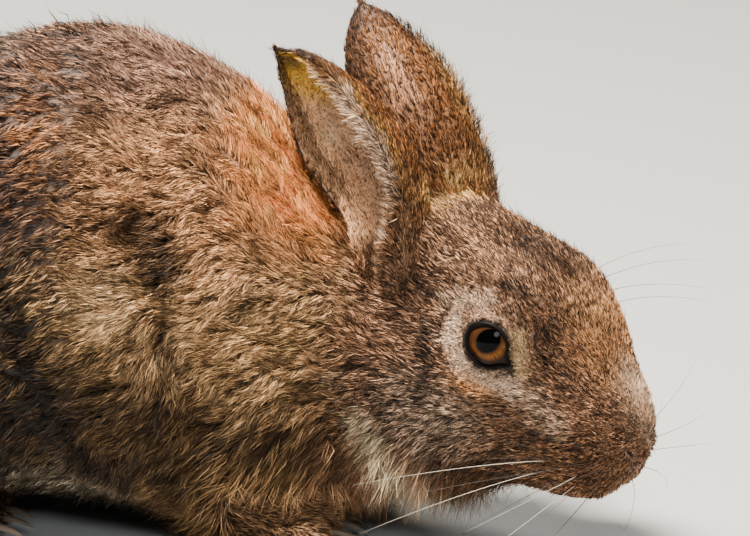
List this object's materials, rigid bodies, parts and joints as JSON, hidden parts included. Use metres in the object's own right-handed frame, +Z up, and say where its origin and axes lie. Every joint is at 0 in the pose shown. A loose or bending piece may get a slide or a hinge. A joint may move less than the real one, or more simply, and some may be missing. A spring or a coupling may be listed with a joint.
{
  "type": "rabbit figure",
  "caption": "Life-size wild rabbit crouched on its feet, ears up, head turned and dipped to graze, with a brown agouti coat.",
  "frame": {"origin": "on the floor, under the middle of the box round the whole animal", "axes": "+X to the head end along the body, +Y to the animal's left, +Z up"},
  "size_m": [0.263, 0.121, 0.1382],
  "materials": {
    "coat": "short dense fur",
    "ear_coat": "thin short fur over skin",
    "eye": "wet gloss",
    "claw": "horn, semi-matt"
  },
  "bodies": {
    "root": {"head": "coat", "lower_jaw": "coat", "neck": "coat", "trunk": "coat", "tail": "coat", "upper_arm_left": "coat", "forearm_left": "coat", "forefoot_left": "coat", "thigh_left": "coat", "shank_left": "coat", "hind_foot_left": "coat", "upper_arm_right": "coat", "forearm_right": "coat", "forefoot_right": "coat", "thigh_right": "coat", "shank_right": "coat", "hind_foot_right": "coat", "ear_left": "ear_coat", "eye_left": "eye", "claw_fore_left_1": "claw", "claw_fore_left_2": "claw", "claw_fore_left_3": "claw", "claw_fore_left_4": "claw", "claw_hind_left_1": "claw", "claw_hind_left_2": "claw", "claw_hind_left_3": "claw", "claw_hind_left_4": "claw", "ear_right": "ear_coat", "eye_right": "eye", "claw_fore_right_1": "claw", "claw_fore_right_2": "claw", "claw_fore_right_3": "claw", "claw_fore_right_4": "claw", "claw_hind_right_1": "claw", "claw_hind_right_2": "claw", "claw_hind_right_3": "claw", "claw_hind_right_4": "claw"}
  },
  "joints": []
}
